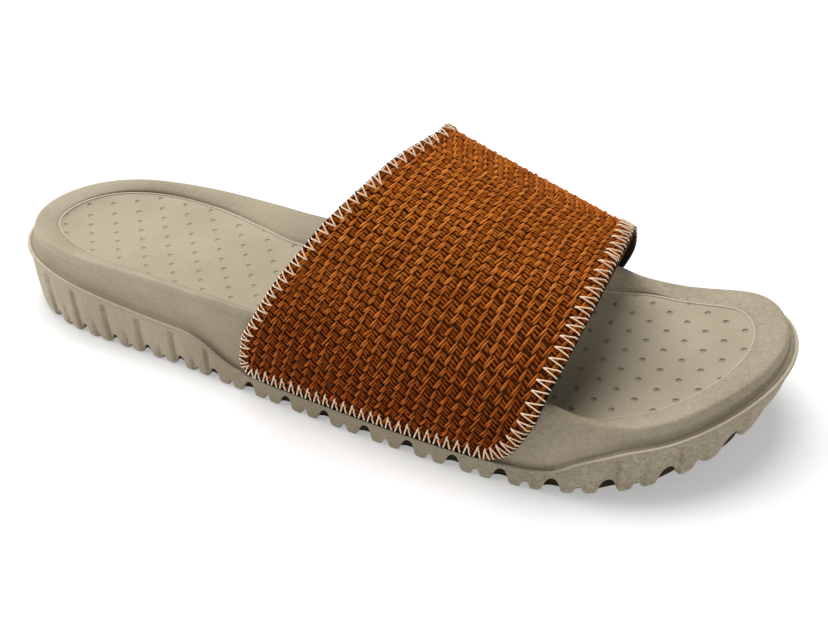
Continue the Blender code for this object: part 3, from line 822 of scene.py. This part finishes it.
def edge_loop():
    """The strap's edge, once around from the outer back corner.

    Each spot's place along the shoe, metres over the foot, kind of edge, share.
    """
    end = 1.0 - np.cos(np.linspace(0.0, 0.5 * math.pi, 14))
    corner = STRAP_CORNER * UPRIGHT_RATE
    t = np.concatenate([corner * end[:-1], np.linspace(corner, 1.0 - corner, 400),
                        1.0 - corner * end[-2::-1]])
    back, front = strap_limits(t)
    level = np.ones(60)
    sections = (
        (np.linspace(back[0], front[0], 60), 0.0 * level, "bottom"),
        (front[1:], t[1:], "front"),
        (np.linspace(front[-1], back[-1], 60)[1:], level[1:], "bottom"),
        (back[-2:0:-1], t[-2:0:-1], "back"),
    )
    along = np.concatenate([section[0] for section in sections])
    over = np.concatenate([section[1] for section in sections])
    kinds = [section[2] for section in sections for _ in section[0]]
    nearest = np.round((along - ARC_X[0]) / (ARC_X[1] - ARC_X[0])).astype(int)
    lines = ARC_RUN[np.clip(nearest, 0, len(ARC_X) - 1)]
    run = np.array([np.interp(share, ARC_T, line) for share, line in zip(over, lines)])
    return along, np.where(over >= 1.0, full_run(along), run), kinds, over


def stitch_paths():
    """Legs and roots of the stitches, in the plane of the cloth.

    A leg: points, shares from edge to tip, whether it starts and ends inside the
    cloth. A root: spot of the edge, way inwards.
    """
    along, run, kinds, _ = edge_loop()
    loop = np.stack([along, run], -1)
    closed = np.concatenate([loop, loop[:1]])
    steps = np.linalg.norm(np.diff(closed, axis=0), axis=1)
    place = np.concatenate([[0.0], np.cumsum(steps)])
    perimeter = place[-1]

    def at(distance):
        distance = np.mod(distance, perimeter)
        return np.stack([np.interp(distance, place, closed[:, k]) for k in range(2)], -1)

    def inward(distance):
        ahead = at(distance + 0.0012) - at(distance - 0.0012)
        return unit(np.array([-ahead[1], ahead[0]]))

    def kind_at(distance):
        spot = int(np.searchsorted(place, np.mod(distance, perimeter), side="right") - 1)
        return kinds[min(spot, len(kinds) - 1)]

    legs = []
    roots = []
    dice = np.random.default_rng(5)
    here = 0.0
    while here < perimeter - 0.002:
        pitch, depth = STITCHES[kind_at(here)]
        pitch = pitch * (1.0 + dice.normal(0.0, 0.02))
        depth = depth * (1.0 + dice.normal(0.0, 0.03))
        middle = here + 0.5 * pitch
        tip = at(here + (0.5 + dice.normal(0.0, 0.05)) * pitch) + inward(middle) * depth
        pieces = BOTTOM_LEG if kind_at(middle) == "bottom" else WHOLE_LEG
        for low, high in pieces:
            for share in (0.16, 0.84):
                foot = at(here + share * pitch)
                s = np.linspace(low, high, 8)
                legs.append((foot + (tip - foot) * s[:, None], s, low > 0.0, high < 1.0))
        roots.append((at(here), inward(here)))
        here += pitch
    return legs, roots


def threads(name, flats, heights, wide, high, sides):
    """Threads of even thickness along paths in the plane of the cloth."""
    flats = np.array(flats)
    paths, normals = on_strap(flats[..., 0], flats[..., 1], np.array(heights))
    even = np.ones(flats.shape[:2])
    return make_mesh(name, *tubes(paths, normals, wide * even, high * even, sides))


def build_stitches():
    """Pale zigzag around the strap, and the dark roots between its stitches, painted shade where
    the thread goes into the cloth.
    """
    legs, roots = stitch_paths()
    heights = []
    for _, s, starts_inside, ends_inside in legs:
        height = THREAD_LIFT - 0.0010 * np.clip(0.07 - s, 0.0, 1.0) / 0.07
        height = height - THREAD_DIVE * np.clip(s - 0.94, 0.0, 1.0) / 0.06
        height[0] -= THREAD_DIVE * starts_inside
        height[-1] -= THREAD_DIVE * ends_inside
        heights.append(height)
    zigzag = threads("edge_stitches", [leg[0] for leg in legs], heights,
                     THREAD_WIDE, THREAD_HIGH, 8)
    dark = [spot + way * np.linspace(0.0, ROOT_LENGTH, 5)[:, None] for spot, way in roots]
    heights = np.full((len(dark), 5), ROOT_LIFT)
    return zigzag, threads("stitch_roots", dark, heights, ROOT_WIDE, ROOT_WIDE, 6)


def build_binding_and_shadow():
    """Thin dark roll around the strap: full at the bottom, sunk elsewhere. Along the bottom it is
    a binding and also painted shadow, the dark line under the strap's edge.
    """
    along, _, kinds, over = edge_loop()
    plane = np.stack([along, over / UPRIGHT_RATE], -1)
    ahead = np.roll(plane, -1, axis=0) - np.roll(plane, 1, axis=0)
    out = unit(np.stack([ahead[:, 1], -ahead[:, 0]], -1)) * BINDING_OUT
    low = np.array([1.0 if kind == "bottom" else 0.0 for kind in kinds])
    low = sum(np.roll(low, shift) for shift in range(-3, 4)) / 7.0
    out[:, 1] *= BINDING_DOWN * low
    height = -BINDING_DEPTH * (1.0 - low) + BINDING_PROUD * low
    over = over + out[:, 1] * UPRIGHT_RATE
    paths, normals = on_share((along + out[:, 0])[None], over[None], height[None])
    around = np.append(np.arange(len(low)), (0, 1))
    thick = BINDING_THIN + (BINDING_WIDE - BINDING_THIN) * low[None, around]
    return make_mesh("edge_binding_and_shadow", *tubes(paths[:, around], normals[:, around], thick, thick, 8))


# Materials

def operation(name):
    """Method of Value that puts its socket through a math node of this kind."""
    def method(self, *others):
        return self.math(name, *others)
    return method


class Value:
    """One socket of a node tree, with the usual arithmetic."""

    def __init__(self, graph, socket):
        self.graph = graph
        self.socket = socket

    def math(self, kind, *others):
        return self.graph.node("ShaderNodeMath", {"operation": kind},
                               dict(enumerate((self,) + others)))

    __add__ = __radd__ = operation("ADD")
    __mul__ = __rmul__ = operation("MULTIPLY")
    __sub__ = operation("SUBTRACT")
    __truediv__ = operation("DIVIDE")
    __pow__ = operation("POWER")
    fract = operation("FRACT")
    absolute = operation("ABSOLUTE")
    sine = operation("SINE")

    def __rsub__(self, other):
        return self.math("MULTIPLY_ADD", -1.0, other)


class Graph:
    """A material's node tree, built from expressions."""

    def __init__(self, name):
        self.material = bpy.data.materials.new(name)
        self.material.use_nodes = True
        self.tree = self.material.node_tree
        self.shader = self.tree.nodes["Principled BSDF"]

    def put(self, socket, value):
        """Link a value to an input, or set the input to a plain number or colour."""
        if isinstance(value, Value):
            self.tree.links.new(value.socket, socket)
        else:
            socket.default_value = value

    def node(self, kind, settings=None, inputs=None, output=0):
        made = self.tree.nodes.new(kind)
        for name, value in (settings or {}).items():
            setattr(made, name, value)
        for name, value in (inputs or {}).items():
            self.put(made.inputs[name], value)
        return Value(self, made.outputs[output])

    def place(self, name="Object"):
        return self.node("ShaderNodeTexCoord", output=name)

    def split(self, vector):
        """The three parts of a vector."""
        made = self.node("ShaderNodeSeparateXYZ", None, {0: vector}).socket.node
        return [Value(self, socket) for socket in made.outputs]

    def noise(self, vector, scale, detail=2.0, roughness=0.6, distortion=0.0):
        return self.node("ShaderNodeTexNoise", None, {
            "Vector": vector, "Scale": scale, "Detail": detail,
            "Roughness": roughness, "Distortion": distortion})

    def ramp(self, value, low, high, start=0.0, end=1.0):
        """Smooth step of a value from start at low to end at high."""
        return self.node("ShaderNodeMapRange", {"interpolation_type": "SMOOTHSTEP"}, {
            0: value, 1: low, 2: high, 3: start, 4: end})

    def mix(self, factor, a, b, blend="MIX"):
        """Colour mix: its two colours are the sockets A and B of the colour kind."""
        return self.node("ShaderNodeMix", {"data_type": "RGBA", "blend_type": blend},
                         {0: factor, 6: a, 7: b}, 2)

    def tinted(self, shade, red, green, blue):
        """Colour with its three parts multiplied."""
        tint = self.node("ShaderNodeCombineXYZ", None, {0: red, 1: green, 2: blue})
        return self.mix(1.0, shade, tint, "MULTIPLY")

    def bump(self, height, distance, strength=1.0, under=None):
        under = {} if under is None else {"Normal": under}
        return self.node("ShaderNodeBump", None, {
            "Height": height, "Distance": distance, "Strength": strength, **under})

    def streaks(self, turns):
        """Waves that run around a thread and turn along it, from 0 to 1."""
        u, v, _ = self.split(self.place("UV"))
        return ((u * turns + v * 2.0) * FULL_TURN).sine() * 0.5 + 0.5

    def feed(self, name, value):
        self.put(self.shader.inputs[name], value)

    def finish(self, shade, roughness, gloss, normal):
        """Feed what every material has, and hand the material over."""
        self.feed("Base Color", shade)
        self.feed("Roughness", roughness)
        self.feed("Specular IOR Level", gloss)
        self.feed("Normal", normal)
        return self.material


def colour(red, green, blue):
    """Linear colour of a screen colour given from 0 to 255."""
    made = []
    for value in (red, green, blue):
        value = value / 255.0
        made.append(value / 12.92 if value <= 0.04045 else ((value + 0.055) / 1.055) ** 2.4)
    return (*made, 1.0)


FOAM_LIGHT = colour(172, 161, 139)
FOAM_DARK = colour(162, 150, 128)
FOAM_HIGHLIGHT = colour(188, 177, 156)
FOAM_IN_SHADE = colour(62, 52, 38)
FOAM_SHADE = colour(34, 27, 18)
BASE_LIGHT = (0.14, 0.036, 0.004, 1.0)
BASE_DARK = (0.05, 0.012, 0.001, 1.0)
THREAD_LIGHT = (1.0, 0.82, 0.60, 1.0)
THREAD_DARK = (0.94, 0.56, 0.32, 1.0)
PAPER_LIGHT = (0.68, 0.68, 0.68, 1.0)
PAPER_DARK = (0.66, 0.66, 0.66, 1.0)
FLOOR_GLOW = 0.37
# Dimples of heel and toe: place of one, then the two steps between neighbours
DIMPLES = (
    ((-0.0907, -0.0079), (0.0113, 0.0), (0.0038, -0.0055)),
    ((0.1034, -0.0047), (0.0009, -0.0116), (0.0069, -0.0048)),
)
DIMPLE_RADIUS = 0.00135
# Place along the shoe where the toe's lattice takes over from the heel's
DIMPLE_SPLIT = 0.020


def foam(name, grain, light=FOAM_LIGHT, dark=FOAM_DARK):
    """Moulded foam: soft mottling, fine pores and a leather-like grain, with painted shade beside
    the strap and where faces look down into the tread.
    """
    g = Graph(name)
    spot = g.place()
    cloud = g.noise(spot, 28.0, 3.0, 0.55)
    fine = g.noise(spot, 900.0)
    x, _, _ = g.split(spot)
    front = g.ramp(x, 0.03, 0.075)
    shade = g.mix(g.ramp(cloud, 0.35, 0.65), dark, light)
    speck = g.ramp(fine, 0.30, 0.70, 0.94, 1.05)
    # painted shade: a little darker and warmer beside the strap, where the strap shades the foam
    strap_shade = g.ramp(x.absolute(), 0.020, 0.080, 0.80, 1.0)
    shade = g.tinted(shade, speck * strap_shade, speck * strap_shade ** 1.1, speck * strap_shade ** 1.3)
    # painted shade: dark where a face looks down into the tread
    _, _, facing = g.split(g.node("ShaderNodeNewGeometry", output="True Normal"))
    shade = g.mix(g.ramp(facing, -0.75, -0.25, 0.85, 0.0), shade, FOAM_IN_SHADE)
    wrinkle = g.noise(spot, 420.0, 3.0, 0.6, 0.8)
    leather = g.ramp((wrinkle - 0.5).absolute(), 0.0, 0.09) * (0.2 + 0.8 * front) * grain
    return g.finish(shade, g.ramp(cloud, 0.3, 0.7, 0.62, 0.72), 0.32,
                    g.bump(leather + fine * 0.25, 0.00022, 0.9))


def insole_foam(name):
    """Foam of the insole with its lattice of pressed dimples, and painted shade inside them."""
    g = Graph(name)
    spot = g.place()
    cloud = g.noise(spot, 24.0, 3.0, 0.55)
    fine = g.noise(spot, 1100.0)
    x, y, _ = g.split(spot)
    aways = []
    sides = []
    for start, one, two in DIMPLES:
        area = one[0] * two[1] - one[1] * two[0]
        # two coordinates that are whole numbers at the middle of each dimple
        px, py = x - start[0], y - start[1]
        u = px * (two[1] / area) - py * (two[0] / area)
        v = py * (one[0] / area) - px * (one[1] / area)
        du = (u + 0.5).fract() - 0.5
        dv = (v + 0.5).fract() - 0.5
        dx = du * one[0] + dv * two[0]
        dy = du * one[1] + dv * two[1]
        aways.append((dx * dx + dy * dy) ** 0.5 / DIMPLE_RADIUS)
        sides.append(dy / DIMPLE_RADIUS)
    ahead = x.math("GREATER_THAN", DIMPLE_SPLIT)
    away = aways[0] * (1.0 - ahead) + aways[1] * ahead
    side = sides[0] * (1.0 - ahead) + sides[1] * ahead
    # deepest towards the inner side, so each one reads as a small crescent
    bowl = g.ramp(away, 0.15, 1.0)
    slant = g.ramp(side, -1.0, 1.0, 0.6, 1.0)
    pit = 1.0 - (1.0 - bowl) * slant * (0.6 + 0.4 * ahead)
    shade = g.mix(g.ramp(cloud, 0.35, 0.65), FOAM_DARK, FOAM_LIGHT)
    # painted shade inside each dimple, darkest towards its inner side
    pit_shade = g.ramp(pit, 0.0, 0.7, 0.40, 0.0) * (1.0 + 0.5 * ahead)
    shade = g.mix(pit_shade * g.ramp(side, -0.5, 0.5, 0.05, 1.0), shade, FOAM_IN_SHADE)
    speck = g.ramp(fine, 0.30, 0.70, 0.95, 1.04)
    return g.finish(g.tinted(shade, speck, speck, speck), 0.68, 0.30,
                    g.bump(pit, 0.0014, 1.0, g.bump(fine, 0.00008, 0.7)))


def yarn(name, light, dark):
    """Spun yarn: streaks of fibre with the twist of the ply, and painted shade that makes it
    darker and redder lower down.
    """
    g = Graph(name)
    spot = g.place()
    patch = g.noise(spot, 330.0, 2.0, 0.5)
    wide = g.noise(spot, 30.0, 3.0)
    streak = g.streaks(9.0)
    hair = g.noise(spot, 3000.0)
    mixed = g.ramp(patch * 0.55 + wide * 0.25 + hair * 0.20, 0.36, 0.62)
    shade = g.mix(mixed, dark, light)
    shade = g.mix(streak * 0.35, shade, dark)
    # painted shade: the yarn darker and redder lower on the strap, where less light falls
    _, _, z = g.split(spot)
    low = g.ramp(z, 0.022, 0.075, 0.58, 1.0)
    return g.finish(g.tinted(shade, low, low ** 1.5, low ** 1.8),
                    g.ramp(hair, 0.3, 0.7, 0.62, 0.80), 0.10,
                    g.bump(streak * 0.6 + hair * 0.5, 0.00012, 0.9))


def plain_cloth(name, light, dark, scale):
    """Dull cloth or rubber with two close shades."""
    g = Graph(name)
    fine = g.noise(g.place(), scale)
    shade = g.mix(g.ramp(fine, 0.3, 0.7), dark, light)
    return g.finish(shade, 0.9, 0.15, g.bump(fine, 0.0002, 0.8))


def thread(name):
    """Pale sewing thread with a twist."""
    g = Graph(name)
    twist = g.streaks(7.0)
    hair = g.noise(g.place(), 2500.0)
    g.feed("Sheen Weight", 0.15)
    shade = g.mix(twist * 0.35 + hair * 0.25, THREAD_LIGHT, THREAD_DARK)
    return g.finish(shade, 0.55, 0.5, g.bump(twist, 0.0001, 0.8))


def floor_paper(name):
    """White paper that glows a little, so that it stays white."""
    g = Graph(name)
    fine = g.noise(g.place(), 40.0, 2.0, 0.5)
    g.feed("Base Color", g.mix(g.ramp(fine, 0.3, 0.7), PAPER_DARK, PAPER_LIGHT))
    g.feed("Roughness", 0.9)
    g.feed("Specular IOR Level", 0.1)
    g.feed("Emission Color", (1.0, 1.0, 1.0, 1.0))
    g.feed("Emission Strength", FLOOR_GLOW)
    return g.material


def dress(piece, material, node):
    """Give a piece its material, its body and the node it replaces."""
    piece.data.materials.append(material)
    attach(piece, "root")
    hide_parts(node)
    return piece


# Camera and light

CAMERA_AZIMUTH = 0.3342
CAMERA_ELEVATION = 0.6079
CAMERA_ROLL = 0.0245
CAMERA_TARGET = (0.0, 0.00485 - PLAN_MIDDLE, 0.020)
# Camera from its target: metres to its right, up and back
CAMERA_OFFSET = (0.01161, -0.00322, 0.43347)
FOCAL_PIXELS = 1181.75
IMAGE_WIDTH = 828
SENSOR = 36.0
FLOOR_REACH = 6.0
WORLD_COLOUR = (1.0, 0.97, 0.93, 1.0)
WORLD_STRENGTH = 0.21
# Lamps: name, place, target, width, power, colour
LAMPS = (
    ("key", (-0.33, 0.45, 1.30), (0.0, 0.0, 0.03), 1.25, 23.4, (1.0, 0.995, 0.99)),
    ("fill", (-0.75, -0.30, 0.30), (-0.1, 0.0, 0.02), 0.5, 3.3, (1.0, 1.0, 1.0)),
    ("low", (0.9, -0.35, 0.15), (0.1, 0.0, 0.02), 0.3, 1.4, (1.0, 1.0, 1.0)),
)


def place_camera():
    """Camera at the photo's angle to the shoe."""
    lens = bpy.data.cameras.new("camera")
    lens.sensor_width = SENSOR
    lens.sensor_fit = "HORIZONTAL"
    lens.lens = FOCAL_PIXELS * SENSOR / IMAGE_WIDTH
    lens.clip_start = 0.01
    lens.clip_end = 20.0
    camera = bpy.data.objects.new("camera", lens)
    camera.matrix_world = (Matrix.Translation(CAMERA_TARGET)
                           @ Matrix.Rotation(CAMERA_AZIMUTH, 4, "Z")
                           @ Matrix.Rotation(0.5 * math.pi - CAMERA_ELEVATION, 4, "X")
                           @ Matrix.Rotation(CAMERA_ROLL, 4, "Z")
                           @ Matrix.Translation(CAMERA_OFFSET))
    bpy.context.scene.collection.objects.link(camera)
    bpy.context.scene.camera = camera


def lamp(name, spot, target, size, power, tint):
    """Round area light that faces its target."""
    light = bpy.data.lights.new(name, "AREA")
    light.shape = "DISK"
    light.size = size
    light.energy = power
    light.color = tint
    item = bpy.data.objects.new(name, light)
    turn = (Vector(spot) - Vector(target)).to_track_quat("Z", "Y")
    item.matrix_world = Matrix.Translation(spot) @ turn.to_matrix().to_4x4()
    bpy.context.scene.collection.objects.link(item)


def build_stage():
    """Floor, world light and lamps."""
    corners = np.array([(-1, -1, 0), (1, -1, 0), (1, 1, 0), (-1, 1, 0)])
    floor = make_mesh("floor", FLOOR_REACH * corners, np.array([[0, 1, 2, 3]]))
    floor.data.materials.append(floor_paper("floor_paper"))
    world = bpy.data.worlds.new("studio")
    world.use_nodes = True
    background = world.node_tree.nodes["Background"]
    background.inputs["Color"].default_value = WORLD_COLOUR
    background.inputs["Strength"].default_value = WORLD_STRENGTH
    bpy.context.scene.world = world
    for setup in LAMPS:
        lamp(*setup)


def main():
    """Build, dress and light everything."""
    place_camera()
    build_stage()
    lower = dress(build_lower(), foam("lower_foam", 1.2), "outsole")
    # painted shade for the tread's pockets
    lower.data.materials.append(plain_cloth("tread_shade", FOAM_IN_SHADE, FOAM_SHADE, 300.0))
    # painted highlight along the lip and the bead
    edge = foam("bead_highlight_foam", 0.2, FOAM_HIGHLIGHT, FOAM_HIGHLIGHT)
    lower.data.materials.append(edge)
    upper = dress(build_upper(), foam("upper_foam", 0.6), "midsole")
    upper.data.materials.append(edge)
    dress(build_insole(), insole_foam("insole_foam"), "footbed")
    cloth = [(strands(*family), yarn(*shades)) for family, shades in zip(WEAVE, YARNS)]
    base = strap_sheet("strap_base", *BASE_SHEET)
    lining = strap_sheet("strap_lining", *LINING_SHEET)
    stitches, roots = build_stitches()
    cloth += [
        (base, plain_cloth("base_cloth", BASE_LIGHT, BASE_DARK, 900.0)),
        (lining, plain_cloth("lining_cloth", colour(24, 22, 20), colour(10, 9, 8), 1400.0)),
        (stitches, thread("stitch_thread")),
        # dark roll: a binding, and along the bottom painted shadow under the strap's edge
        (build_binding_and_shadow(),
         plain_cloth("binding_and_shadow_cloth", colour(30, 26, 22), colour(14, 12, 10), 1800.0)),
        # dark roots: painted shade where the thread goes into the cloth
        (roots, plain_cloth("root_shade", colour(30, 24, 20), colour(12, 9, 8), 2000.0)),
    ]
    for piece, material in cloth:
        dress(piece, material, "strap")
    bpy.context.scene.view_settings.view_transform = "Standard"


main()
